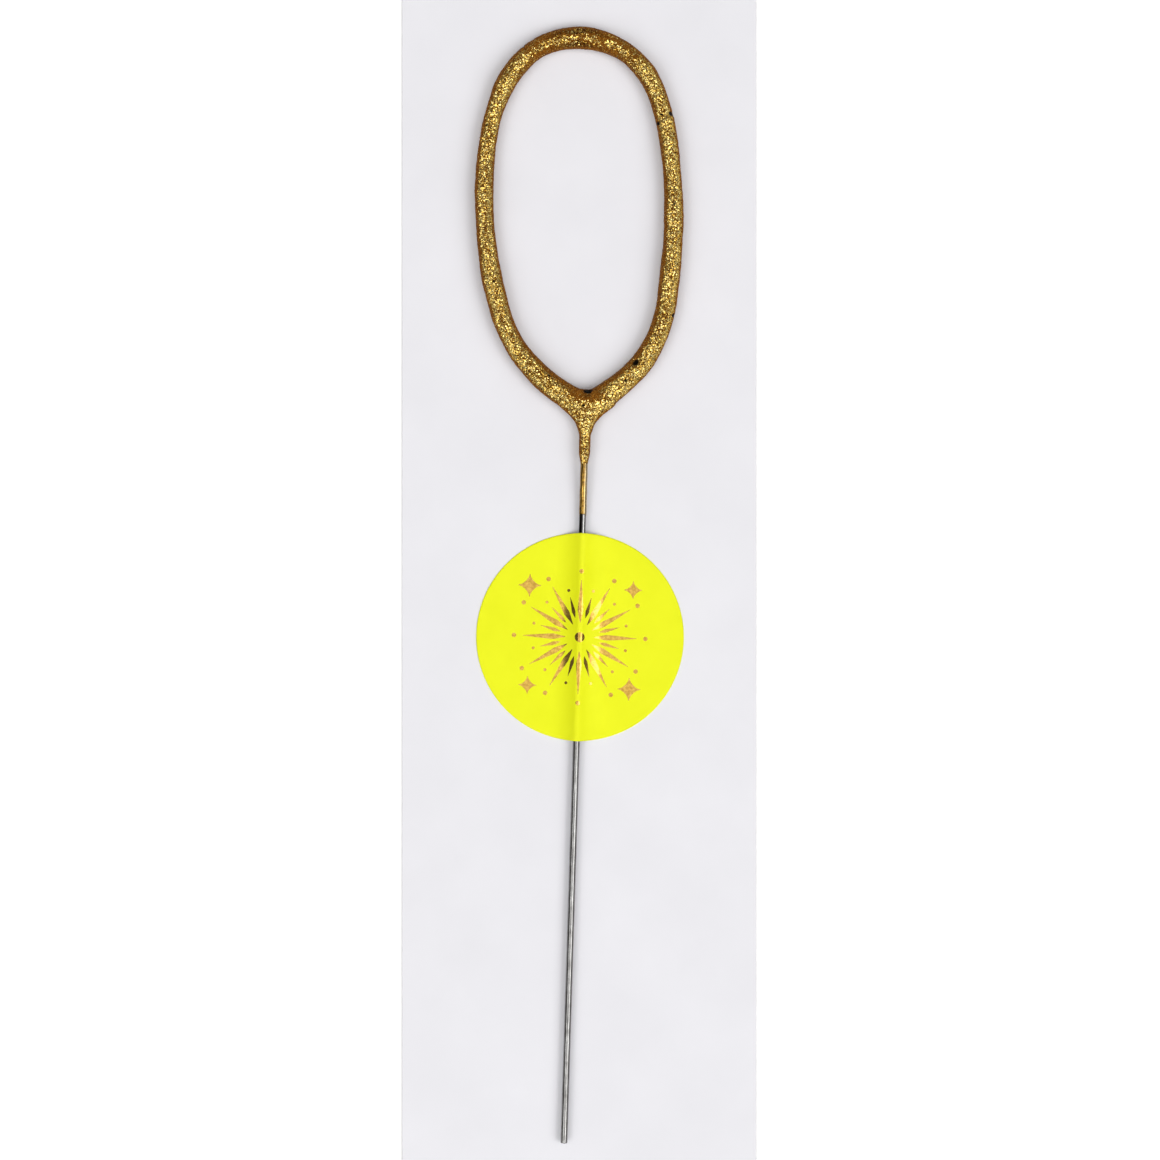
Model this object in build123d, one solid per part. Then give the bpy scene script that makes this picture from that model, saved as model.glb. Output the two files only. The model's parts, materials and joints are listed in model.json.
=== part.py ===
from build123d import *
from math import asin, atan2, cos, exp, hypot, radians, sin, sqrt, tan
import os

# A looped hand sparkler on its backing card, held by one round sticker laid over the stem.
# It lies face up: X runs across the card, Y along it towards the loop, Z up from the card's back.
# Lengths are in millimetres, angles in degrees. The fork is where the loop's two limbs meet the stem.

# Card
CARD_WIDTH = 57.15
CARD_LENGTH = 190.0
CARD_THICK = 0.4
CARD_TOP_MARGIN = 7.7
FORK_RIGHT_OF_MIDDLE = 1.06

# Wire
WIRE_DIAMETER = 1.1
STEM_LENGTH = 119.0
STEM_LEAN = 1.78
STEM_BOW = 0.2
BOW_LENGTH = 12.0
FORK_BEND_RADIUS = 1.2
FREE_END_GAP = 1.6

# Below its neck the stem comes down to the card in an even S
STEM_REST_GAP = 0.6
DROP_LENGTH = 8.5

# Loop, measured from the fork to the middle of the wire
LOOP_HEIGHT = 59.0
LOOP_TOP_LEFT = 1.4
LEFT_REACH = 16.5
LEFT_RISE = 34.2
RIGHT_REACH = 14.0
RIGHT_RISE = 31.9

# Turn of each long outer arc of the loop, and the rise of the limbs where they leave the fork
UPPER_LEFT_TURN = 19.4
UPPER_RIGHT_TURN = 15.1
LOWER_LEFT_TURN = 14.9
LOWER_RIGHT_TURN = 6.9
LEFT_LIMB_RISE = 21.3
RIGHT_LIMB_RISE = 23.4

# Dipped coat: a spark composition under a thin gold lacquer
COMPOSITION_DIAMETER = 3.0
LACQUER_THICK = 0.1
NECK_DIAMETER = 1.7
NECK_LENGTH = 9.5
NECK_TAPER = 1.6
NECK_LIP = 0.1
WEB_SPREAD = 2.7
WEB_DEPTH = 0.4
WEB_FALL = 1.85
WEB_TOP_HALF_WIDTH = 2.4
FORK_BEAD = 0.1
DIP_LINE_BELOW_FORK = 17.8
REST_GAP = 0.05

# Sticker
STICKER_DIAMETER = 33.5
STICKER_BELOW_FORK = 37.5
STICKER_RIGHT_OF_STEM = 0.05
PAPER_THICK = 0.1
ADHESIVE_THICK = 0.03
TENT_HALF_WIDTH = 3.8
TENT_FOOT_RADIUS = 2.4
TUNNEL_CLEARANCE = 0.25
STICKER_TO_BOW = 1.25

# Heights and places that follow from the sizes above
WIRE_RADIUS = WIRE_DIAMETER / 2
BEAD_RADIUS = COMPOSITION_DIAMETER / 2 + FORK_BEAD
AXIS_ABOVE_CARD = REST_GAP + LACQUER_THICK + BEAD_RADIUS
AXIS_Z = CARD_THICK + AXIS_ABOVE_CARD
FORK_Y = CARD_LENGTH / 2 - CARD_TOP_MARGIN - LOOP_HEIGHT
FORK = Vector(FORK_RIGHT_OF_MIDDLE, FORK_Y, AXIS_Z)
STEM_ABOVE_CARD = STEM_REST_GAP + WIRE_RADIUS
DROP = Vector(0, 0, STEM_ABOVE_CARD - AXIS_ABOVE_CARD)


def down_direction(lean):
    """Direction down the stem, towards a tip that leans left by an angle."""
    return Vector(-sin(radians(lean)), -cos(radians(lean)), 0)


STEM_DOWN = down_direction(STEM_LEAN - STEM_BOW)
TIP_DOWN = down_direction(STEM_LEAN)
STEM_RIGHT = Vector(-STEM_DOWN.Y, STEM_DOWN.X, 0)
TIP_RIGHT = Vector(-TIP_DOWN.Y, TIP_DOWN.X, 0)

# The wire's slight bow ends just below the sticker, and the stem is straight from there to its tip
STRAIGHT_BELOW_FORK = STICKER_BELOW_FORK + STICKER_DIAMETER / 2 + STICKER_TO_BOW
BOW_CHORD = 2 * BOW_LENGTH * sin(radians(STEM_BOW / 2)) / radians(STEM_BOW)
BOW_START = FORK + DROP + STEM_DOWN * (STRAIGHT_BELOW_FORK - BOW_LENGTH)
BOW_END = BOW_START + down_direction(STEM_LEAN - STEM_BOW / 2) * BOW_CHORD
TIP = BOW_END + TIP_DOWN * (STEM_LENGTH - STRAIGHT_BELOW_FORK)
STICKER_ON_STEM = BOW_END - TIP_DOWN * (STICKER_DIAMETER / 2 + STICKER_TO_BOW)
STICKER_MIDDLE = STICKER_ON_STEM + TIP_RIGHT * STICKER_RIGHT_OF_STEM

# Loop stations
LOOP_TOP = FORK + Vector(-LOOP_TOP_LEFT, LOOP_HEIGHT, 0)
LEFT_SIDE = FORK + Vector(-LEFT_REACH, LEFT_RISE, 0)
RIGHT_SIDE = FORK + Vector(RIGHT_REACH, RIGHT_RISE, 0)


def quarter(side, end, first_turn, whole_turn):
    """Two tangent arcs from a side of the loop, where it runs along Y, to its top or its fork."""
    first = radians(first_turn)
    whole = radians(whole_turn)
    across = abs(end.X - side.X)
    along = abs(end.Y - side.Y)
    step_x = cos(first) - cos(whole)
    step_y = sin(whole) - sin(first)
    radius = (across * step_y - along * step_x) / ((1 - cos(first)) * step_y - sin(first) * step_x)
    towards_x = 1 if end.X > side.X else -1
    towards_y = 1 if end.Y > side.Y else -1
    joint = side + Vector(towards_x * radius * (1 - cos(first)), towards_y * radius * sin(first), 0)
    long_arc = Edge.make_tangent_arc(side, Vector(0, towards_y, 0), joint)
    return [long_arc, Edge.make_tangent_arc(joint, long_arc % 1, end)]


UPPER_LEFT = quarter(LEFT_SIDE, LOOP_TOP, UPPER_LEFT_TURN, 90)
UPPER_RIGHT = quarter(RIGHT_SIDE, LOOP_TOP, UPPER_RIGHT_TURN, 90)
LOWER_LEFT = quarter(LEFT_SIDE, FORK, LOWER_LEFT_TURN, 90 - LEFT_LIMB_RISE)
LOWER_RIGHT = quarter(RIGHT_SIDE, FORK, LOWER_RIGHT_TURN, 90 - RIGHT_LIMB_RISE)


def tube(edges, radius):
    """Round bar along lines and arcs that run on from one another."""
    path = Wire(edges)
    section = Plane(origin=path @ 0, z_dir=path % 0) * Circle(radius)
    return sweep(section, path=path)


DROP_START = FORK + STEM_DOWN * NECK_LENGTH
DROP_END = DROP_START + DROP + STEM_DOWN * DROP_LENGTH
DROP_MIDDLE = (DROP_START + DROP_END) * 0.5
DROP_ARCS = [
    Edge.make_tangent_arc(DROP_END, STEM_DOWN * -1, DROP_MIDDLE),
    Edge.make_tangent_arc(DROP_START, STEM_DOWN, DROP_MIDDLE),
]


def stem_path():
    """From the tip: straight, slight bow, straight, the rise to the neck, and the small bend at the fork."""
    limb = LOWER_LEFT[1]
    middle = limb.arc_center
    inward = (middle - FORK).normalized()
    up = STEM_DOWN * -1
    left = STEM_RIGHT * -1
    rise = limb.radius * up.dot(inward)
    drop = sqrt(rise ** 2 + 2 * limb.radius * FORK_BEND_RADIUS * (1 + inward.dot(left))) - rise
    stem_turn = FORK + STEM_DOWN * drop
    bend_middle = stem_turn + left * FORK_BEND_RADIUS
    limb_turn = middle + (bend_middle - middle) * (limb.radius / (limb.radius + FORK_BEND_RADIUS))
    return [
        Edge.make_line(TIP, BOW_END),
        Edge.make_tangent_arc(BOW_END, TIP_DOWN * -1, BOW_START),
        Edge.make_line(BOW_START, DROP_END),
        *DROP_ARCS,
        Edge.make_line(DROP_START, stem_turn),
        Edge.make_tangent_arc(stem_turn, up, limb_turn),
    ]


def core_wire():
    """One steel wire: stem, small bend, and once round the loop to a free end by the fork."""
    stem = stem_path()
    joint = LOWER_LEFT[0] @ 1
    first_limb = Edge.make_tangent_arc(stem[-1] @ 1, stem[-1] % 1, joint)
    last_limb = LOWER_RIGHT[1]
    free_end = last_limb @ (1 - FREE_END_GAP / last_limb.length)
    last_arc = Edge.make_tangent_arc(last_limb @ 0, last_limb % 0, free_end)
    round_loop = [LOWER_LEFT[0], *UPPER_LEFT, *UPPER_RIGHT, LOWER_RIGHT[0]]
    return tube([*stem, first_limb, *round_loop, last_arc], WIRE_RADIUS)


def across_stem(below_fork):
    """Plane square to the stem, below the fork, with its Y up from the card."""
    return Plane(origin=FORK + STEM_DOWN * below_fork, x_dir=STEM_RIGHT, z_dir=STEM_DOWN)


def neck(grow):
    """The web in the fork, drawn out into a thin neck that tapers to the wire."""
    taper_start = NECK_LENGTH - NECK_TAPER
    neck_radius = NECK_DIAMETER / 2 + grow
    sections = [across_stem(0) * Ellipse(WEB_TOP_HALF_WIDTH + grow, neck_radius)]
    for share in (0.08, 0.16, 0.32, 0.48, 0.64):
        below = taper_start * share
        spread = exp(-below / WEB_FALL)
        half_width = neck_radius + WEB_SPREAD * spread
        half_depth = neck_radius + WEB_DEPTH * spread
        sections.append(across_stem(below) * Ellipse(half_width, half_depth))
    neck_end = across_stem(taper_start) * Circle(neck_radius)
    lip = across_stem(NECK_LENGTH + grow) * Circle(WIRE_RADIUS + NECK_LIP + grow)
    return loft([*sections, neck_end]) + loft([neck_end, lip])


def coat(grow):
    """The dipped mass round the loop and down its neck, grown outwards all over."""
    radius = COMPOSITION_DIAMETER / 2 + grow
    left = tube([*LOWER_LEFT, *UPPER_LEFT], radius)
    right = tube([*LOWER_RIGHT, *UPPER_RIGHT], radius)
    bead = Pos(FORK) * Sphere(BEAD_RADIUS + grow)
    return left + right + bead + neck(grow)


def stem_film():
    """Lacquer that ran down the bare stem as far as the dip line."""
    taper_start = FORK + STEM_DOWN * (NECK_LENGTH - NECK_TAPER)
    on_stem = [Edge.make_line(BOW_START, DROP_END), *DROP_ARCS, Edge.make_line(DROP_START, taper_start)]
    film = tube(on_stem, WIRE_RADIUS + LACQUER_THICK)
    return split(film, across_stem(DIP_LINE_BELOW_FORK), Keep.BOTTOM)


def sticker_line(rise):
    """Half of the sticker's section, from its crest out to the right, raised by part of its thickness."""
    crest_radius = WIRE_RADIUS + TUNNEL_CLEARANCE
    slant = hypot(TENT_HALF_WIDTH, STEM_ABOVE_CARD)
    slope = atan2(STEM_ABOVE_CARD, TENT_HALF_WIDTH) + asin(crest_radius / slant)
    across, up = sin(slope), cos(slope)
    foot_x = TENT_HALF_WIDTH + TENT_FOOT_RADIUS * tan(slope / 2)
    foot_radius = TENT_FOOT_RADIUS - rise
    crest = Vector(0, STEM_ABOVE_CARD + crest_radius + rise)
    shoulder = Vector((crest_radius + rise) * across, STEM_ABOVE_CARD + (crest_radius + rise) * up)
    slope_end = Vector(foot_x - foot_radius * across, TENT_FOOT_RADIUS - foot_radius * up)
    wing_start = Vector(foot_x, rise)
    wing_end = Vector(STICKER_DIAMETER, rise)
    return [
        Edge.make_tangent_arc(crest, Vector(1, 0), shoulder),
        Edge.make_line(shoulder, slope_end),
        Edge.make_tangent_arc(slope_end, Vector(up, -across), wing_start),
        Edge.make_line(wing_start, wing_end),
    ]


def sticker_layer(low, high):
    """One layer of the round sticker, tented over the stem and flat on the card on both sides."""
    under = sticker_line(low)
    over = sticker_line(high)
    edges = [*under, *over]
    edges.append(Edge.make_line(under[0] @ 0, over[0] @ 0))
    edges.append(Edge.make_line(under[-1] @ 1, over[-1] @ 1))
    half = Face(Wire(edges))
    start = STICKER_ON_STEM + TIP_DOWN * STICKER_DIAMETER
    section = Plane(origin=(start.X, start.Y, CARD_THICK), x_dir=TIP_RIGHT, z_dir=TIP_DOWN)
    right = extrude(section * half, -2 * STICKER_DIAMETER)
    left = mirror(right, Plane(origin=start, z_dir=TIP_RIGHT))
    outline = Pos(STICKER_MIDDLE.X, STICKER_MIDDLE.Y) * Circle(STICKER_DIAMETER / 2)
    disc = extrude(outline, 2 * AXIS_Z)
    return (left + right) & disc


def backing_card():
    return Box(CARD_WIDTH, CARD_LENGTH, CARD_THICK, align=(Align.CENTER, Align.CENTER, Align.MIN))


wire = core_wire()
mass = coat(0)
parts = {
    "backing_card": backing_card(),
    "sticker_adhesive": sticker_layer(0, ADHESIVE_THICK),
    "sticker_face": sticker_layer(ADHESIVE_THICK, ADHESIVE_THICK + PAPER_THICK),
    "core_wire": wire,
    "spark_composition": mass - wire,
    "gold_lacquer": coat(LACQUER_THICK) + stem_film() - mass - wire,
}

os.makedirs("parts", exist_ok=True)
for name, solid in parts.items():
    export_step(solid, f"parts/{name}.step")
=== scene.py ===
# %% [markdown]
# # A carded sparkler
# A wire sparkler with a gold-dipped loop lies on a white card, held there by one round yellow sticker.
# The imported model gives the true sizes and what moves. This script adds the looks: a lumpy granular
# skin, drawn wire, paper that tents over the stem, foil, and paperboard.

# %% Load the frame
import json

import bpy
import numpy as np
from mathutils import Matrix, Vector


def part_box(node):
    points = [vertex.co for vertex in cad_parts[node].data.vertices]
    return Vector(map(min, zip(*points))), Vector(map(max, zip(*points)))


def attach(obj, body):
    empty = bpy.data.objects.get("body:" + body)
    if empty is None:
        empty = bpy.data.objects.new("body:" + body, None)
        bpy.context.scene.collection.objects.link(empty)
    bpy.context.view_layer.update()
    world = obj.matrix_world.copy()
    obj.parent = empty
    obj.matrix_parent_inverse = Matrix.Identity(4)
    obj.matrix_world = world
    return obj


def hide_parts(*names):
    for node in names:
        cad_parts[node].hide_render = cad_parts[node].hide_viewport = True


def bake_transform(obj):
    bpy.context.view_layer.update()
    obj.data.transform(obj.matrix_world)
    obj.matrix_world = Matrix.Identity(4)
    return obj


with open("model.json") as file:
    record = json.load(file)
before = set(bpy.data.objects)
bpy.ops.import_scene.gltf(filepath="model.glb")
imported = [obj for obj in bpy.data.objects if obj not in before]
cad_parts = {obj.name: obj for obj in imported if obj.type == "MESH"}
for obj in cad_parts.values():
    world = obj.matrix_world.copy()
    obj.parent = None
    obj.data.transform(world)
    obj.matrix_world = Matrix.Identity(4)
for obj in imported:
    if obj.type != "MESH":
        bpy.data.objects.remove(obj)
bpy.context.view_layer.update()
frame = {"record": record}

record = frame["record"]

# %% [markdown]
# ## Sizes
# Everything below is worked out in millimetres and turned to metres when a mesh is written. The stem's
# tip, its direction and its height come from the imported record, and the loop's reach and height come from
# the boxes of the wire and the coat, so the skin always lies where the solids are.

# %% Sizes from the frame
MM = 0.001


def node_box(name):
    """A node's lowest and highest corner in millimetres."""
    low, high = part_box(name)
    return np.array(low) / MM, np.array(high) / MM


stem_mount = next(m for m in record["mounts"] if m["name"] == "stem")
wire_low, wire_high = node_box("core_wire")
mass_low, mass_high = node_box("spark_composition")
card_low, card_high = node_box("backing_card")
sticker_low, sticker_high = node_box("sticker_face")

WIRE_RADIUS = stem_mount["dims"]["r_mm"]
TIP = complex(*(np.array(stem_mount["pos_m"][:2]) / MM))
DOWN = complex(*stem_mount["axis"][:2])
RIGHT = DOWN * 1j
STEM_Z = stem_mount["pos_m"][2] / MM
AXIS_Z = (mass_low[2] + mass_high[2]) / 2
CARD_TOP = card_high[2]
BOW_END = TIP - DOWN * stem_mount["dims"]["length_mm"]
print("tip", TIP, "heights: stem", STEM_Z, "loop", AXIS_Z, "card top", CARD_TOP)

# %% [markdown]
# ## The loop's middle line
# The loop is eight tangent arcs, two to a quarter. In the plane of the card a point is one complex number,
# which makes an arc short to write: a chord from the start that grows as a sine while it turns.

# %% The loop's middle line
LOOP_HEIGHT = 59.0
LOOP_TOP_LEFT = 1.4
LEFT_RISE = 34.2
RIGHT_RISE = 31.9
UPPER_LEFT_TURN = 19.4
UPPER_RIGHT_TURN = 15.1
LOWER_LEFT_TURN = 14.9
LOWER_RIGHT_TURN = 6.9
LEFT_LIMB_RISE = 21.3
RIGHT_LIMB_RISE = 23.4
FORK_X = 1.06
LOOP_SPACING = 0.25

FORK = complex(FORK_X, wire_high[1] - WIRE_RADIUS - LOOP_HEIGHT)
LOOP_TOP = FORK + complex(-LOOP_TOP_LEFT, LOOP_HEIGHT)
LEFT_SIDE = complex(wire_low[0] + WIRE_RADIUS, FORK.imag + LEFT_RISE)
RIGHT_SIDE = complex(wire_high[0] - WIRE_RADIUS, FORK.imag + RIGHT_RISE)


def arc(start, tangent, end, count):
    """Points from start to end on the circle that leaves start along tangent: the chord turns and grows."""
    half_turn = np.angle((end - start) / tangent)
    s = np.linspace(0, 1, count)
    chord = (end - start) * np.sin(half_turn * s) / np.sin(half_turn)
    return start + chord * np.exp(1j * half_turn * (s - 1))


def quarter(side, end, first_turn, whole_turn, count=160):
    """Two tangent arcs from a side of the loop, where it runs along Y, to its top or its fork."""
    first, whole = np.radians([first_turn, whole_turn])
    across, along = abs(end.real - side.real), abs(end.imag - side.imag)
    step_x = np.cos(first) - np.cos(whole)
    step_y = np.sin(whole) - np.sin(first)
    radius = (across * step_y - along * step_x) / ((1 - np.cos(first)) * step_y - np.sin(first) * step_x)
    way = complex(np.sign(end.real - side.real), np.sign(end.imag - side.imag))
    joint = side + complex(way.real * radius * (1 - np.cos(first)), way.imag * radius * np.sin(first))
    long_arc = arc(side, 1j * way.imag, joint, count)
    turned = complex(way.real * np.sin(first), way.imag * np.cos(first))
    return np.concatenate([long_arc[:-1], arc(joint, turned, end, count)])


def even(points, spacing):
    """The same line with its points evenly spaced along its length."""
    lengths = np.concatenate([[0], np.cumsum(np.abs(np.diff(points)))])
    at = np.linspace(0, lengths[-1], int(lengths[-1] / spacing) + 1)
    return np.interp(at, lengths, points.real) + 1j * np.interp(at, lengths, points.imag)


lower_left = quarter(LEFT_SIDE, FORK, LOWER_LEFT_TURN, 90 - LEFT_LIMB_RISE)
upper_left = quarter(LEFT_SIDE, LOOP_TOP, UPPER_LEFT_TURN, 90)
upper_right = quarter(RIGHT_SIDE, LOOP_TOP, UPPER_RIGHT_TURN, 90)
lower_right = quarter(RIGHT_SIDE, FORK, LOWER_RIGHT_TURN, 90 - RIGHT_LIMB_RISE)
loop_line = np.concatenate([lower_left[::-1], upper_left[1:], upper_right[::-1][1:], lower_right[1:]])
loop_line = even(loop_line, LOOP_SPACING)
loop_length = np.abs(np.diff(loop_line)).sum()
print("loop line", len(loop_line), "points,", round(float(loop_length), 1), "mm round")

# %% [markdown]
# ## Grids and bars
# A surface is a grid of points, so its faces are the grid's cells. The sparkler is mostly bars: rings of
# points along a line, with a fan of triangles over each end. The same few functions serve the coat, the
# wire and the film, so that every bar is closed and faces outwards in the same way.

# %% Grids and bars


def turn_angles(count):
    """Even angles once round, without the repeated last one."""
    return np.linspace(0, 2 * np.pi, count, endpoint=False)


def in_space(flat, height):
    """Points x, y, z from places in the plane of the card, as complex numbers, and their heights."""
    return np.stack([flat.real, flat.imag, np.broadcast_to(height, flat.shape)], -1)


def plan(points):
    """The places of points in the plane of the card, as complex numbers."""
    return points[:, 0] + 1j * points[:, 1]


def cells(rows, columns, closed=True):
    """The four corners of each cell of a grid. A closed grid joins its last column to its first."""
    last = columns if closed else columns - 1
    r, c = np.meshgrid(np.arange(rows - 1), np.arange(last), indexing="ij")
    d = (c + 1) % columns
    corners = [r * columns + c, r * columns + d, (r + 1) * columns + d, (r + 1) * columns + c]
    return np.stack(corners, -1).reshape(-1, 4)


def fan(ring, middle, outward):
    """Triangles from the points of a ring to one middle point, turned to face outward."""
    following = np.roll(ring, -1)
    pair = (ring, following) if outward else (following, ring)
    return np.stack([*pair, np.full(len(ring), middle)], -1)


def closed_bar(rings):
    """Points and faces of a bar: cells from ring to ring, and a fan to the middle of each end ring."""
    rows, sides = rings.shape[:2]
    points = np.vstack([rings.reshape(-1, 3), rings[[0, -1]].mean(axis=1)])
    count = rows * sides
    first = np.arange(sides)
    faces = cells(rows, sides).tolist() + fan(first, count, False).tolist()
    return points, faces + fan(first + count - sides, count + 1, True).tolist()


def tube(line, height, radius, sides, rise=None):
    """A closed bar: at each point of a line a ring square to it, round or, with a rise, lower than wide."""
    tangent = np.gradient(line)
    normal = 1j * tangent / np.abs(tangent)
    angle = turn_angles(sides)
    height = np.broadcast_to(height, line.shape)[:, None]
    radius = np.broadcast_to(radius, line.shape)[:, None]
    rise = radius if rise is None else rise[:, None]
    flat = line[:, None] + normal[:, None] * radius * np.cos(angle)
    return closed_bar(in_space(flat, height + rise * np.sin(angle)))


print("a closed grid of 3 rows and 8 columns has", len(cells(3, 8)), "cells")

# %% [markdown]
# ## Writing a piece
# A finished piece is a mesh at the origin with its place in its points. It needs a material, the body that
# it rides on, and the solid that it stands for.

# %% Writing a piece


def write_mesh(name, points, faces):
    """A mesh object at the origin, in metres, with smooth faces."""
    mesh = bpy.data.meshes.new(name)
    mesh.from_pydata((points * MM).tolist(), [], faces)
    mesh.polygons.foreach_set("use_smooth", np.ones(len(mesh.polygons), bool))
    mesh.update()
    piece = bpy.data.objects.new(name, mesh)
    bpy.context.scene.collection.objects.link(piece)
    return piece


def point_value(piece, name, values):
    """Keeps one number per point on a piece, for its material to read."""
    attribute = piece.data.attributes.new(name, "FLOAT", "POINT")
    attribute.data.foreach_set("value", np.asarray(values, np.float32))


def bar_value(piece, name, values, shape):
    """Keeps one number per point of a bar's rings, whose shape is rows and sides, and 0 at its two ends."""
    point_value(piece, name, np.append(np.broadcast_to(values, shape), [0, 0]))


def dress(piece, material, replaced=None):
    """Gives a piece its material and hides the node that it stands for."""
    piece.data.materials.append(material)
    if replaced:
        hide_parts(replaced)
    print(piece.name, len(piece.data.polygons), "faces of", material.name)


def finish_piece(piece, material, body, replaced=None):
    """Finishes a rigid piece, which rides on one body."""
    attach(piece, body)
    dress(piece, material, replaced)


# %% [markdown]
# ## Easing and noise
# Nothing handmade changes suddenly, so one function eases between two limits and one fades as a bell. Lumps
# and ragged edges need noise that is the same in every run. Here each corner of a cubic lattice gets a
# number by mixing the bits of its place, and the values between the corners are eased.

# %% Easing and noise
CORNER_MIX = np.array([374761393, 668265263, 2147483647])
SEED_MIX = 1274126177
BIT_MIX = 1103515245
LOW_32_BITS = 0xFFFFFFFF
LOW_16_BITS = 0xFFFF
NOISE_ORIGIN = 1000.0


def smooth_step(value, low, high):
    """0 below low, 1 above high, and an even S between."""
    t = np.clip((value - low) / (high - low), 0, 1)
    return t * t * (3 - 2 * t)


def bell(distance, reach):
    """1 at no distance, about a third at the reach and almost nothing at twice the reach."""
    return np.exp(-(distance / reach) ** 2)


def lattice_noise(points, cell, seed):
    """Smooth noise from -1 to 1: random corner values of a cubic lattice, eased between the corners."""
    dark_side_share = points / cell + NOISE_ORIGIN
    base = np.floor(dark_side_share).astype(np.int64)
    t = smooth_step(dark_side_share - base, 0, 1)
    total = 0
    for corner in np.ndindex(2, 2, 2):
        mixed = ((base + corner) @ CORNER_MIX + seed * SEED_MIX) & LOW_32_BITS
        mixed = ((mixed ^ (mixed >> 13)) * BIT_MIX) & LOW_32_BITS
        value = ((mixed ^ (mixed >> 16)) & LOW_16_BITS) / (LOW_16_BITS / 2) - 1
        total = total + value * np.abs(1 - np.array(corner) - t).prod(axis=1)
    return total


sample = lattice_noise(np.linspace([0, 0, 0], [50, 0, 0], 500), 1.0, 0)
print("noise runs from", round(float(sample.min()), 2), "to", round(float(sample.max()), 2))

# %% [markdown]
# ## Material helpers
# Colours are written as sRGB hex and turned to linear light. One function adds a node, sets it and links
# it. A pattern's scale is one over its size, so each is written as a size in millimetres. A Mix node has
# several sockets of the same name, so its sockets are found by number.

# %% Material helpers
MIX_FIRST, MIX_SECOND = 2, 3
MIX_FIRST_COLOUR, MIX_SECOND_COLOUR, MIX_COLOUR_OUT = 6, 7, 2


def linear(hex_colour):
    """sRGB hex to linear light with full alpha."""
    srgb = np.array([int(hex_colour[i:i + 2], 16) for i in (1, 3, 5)]) / 255
    light = np.where(srgb <= 0.04045, srgb / 12.92, ((srgb + 0.055) / 1.055) ** 2.4)
    return (*light.tolist(), 1.0)


def per_mm(size):
    """The scale of a pattern whose cells are this many millimetres wide."""
    return 1 / (size * MM)


def add(tree, kind, settings=None, inputs=None, links=None):
    """Adds a node: settings are its own options, inputs are socket values, links come from other sockets."""
    node = tree.nodes.new(kind)
    for key, value in (settings or {}).items():
        setattr(node, key, value)
    for key, value in (inputs or {}).items():
        node.inputs[key].default_value = value
    for key, socket in (links or {}).items():
        tree.links.new(socket, node.inputs[key])
    return node


def new_material(name, **shader_values):
    """A material with one Principled shader whose constant sockets are set, and its node tree."""
    material = bpy.data.materials.new(name)
    material.use_nodes = True
    tree = material.node_tree
    shader = tree.nodes["Principled BSDF"]
    for key, value in shader_values.items():
        shader.inputs[key.replace("_", " ")].default_value = value
    return material, tree, shader


def ramp(tree, factor, stops):
    """Colours along a factor, as pairs of place and hex colour."""
    node = add(tree, "ShaderNodeValToRGB", links={"Fac": factor})
    elements = node.color_ramp.elements
    elements[0].position, elements[0].color = stops[0][0], linear(stops[0][1])
    elements[1].position, elements[1].color = stops[-1][0], linear(stops[-1][1])
    for place, colour in stops[1:-1]:
        elements.new(place).color = linear(colour)
    return node.outputs["Color"]


def blend_colour(tree, factor, first, second):
    """Mixes two colours, each a socket or a hex value, by a factor socket."""
    node = add(tree, "ShaderNodeMix", {"data_type": "RGBA"}, links={"Factor": factor})
    for index, colour in ((MIX_FIRST_COLOUR, first), (MIX_SECOND_COLOUR, second)):
        if isinstance(colour, str):
            node.inputs[index].default_value = linear(colour)
        else:
            tree.links.new(colour, node.inputs[index])
    return node.outputs[MIX_COLOUR_OUT]


print("mid grey #808080 is", round(linear("#808080")[0], 3), "in linear light")

# %% [markdown]
# ## Gold lacquer
# The coat is a bronze-powder lacquer over gritty spark composition. Seen close it is a brown, slightly clear
# binder full of tiny metal flakes, each tilted its own way. Facing the light the flakes flash pale yellow
# between brown gaps, and away from it the binder is all that shows. Voronoi cells choose flake or binder,
# and give each flake a colour and a tilt. A value kept on the points covers the flakes with brown binder,
# and where it is highest the brown is darkest, with a few flakes floated to the top. That value is partly
# where the lacquer pooled and partly painted shade: on the sides turned from the lights, at the loop's top,
# along the crown and in the crotch.

# %% Gold lacquer
# Real flakes are a few hundredths of a millimetre wide. They are drawn coarser, so that they show.
FLAKE_MM = 0.16
FINE_FLAKE_MM = 0.11
FINE_SHARE = 0.45
PATCH_MM = 2.5
PATCHINESS = 0.5
FLAKES_COVERED = 0.5
FLAKES_FLOATED = 0.42
FLAKE_TILT = 0.8


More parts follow.
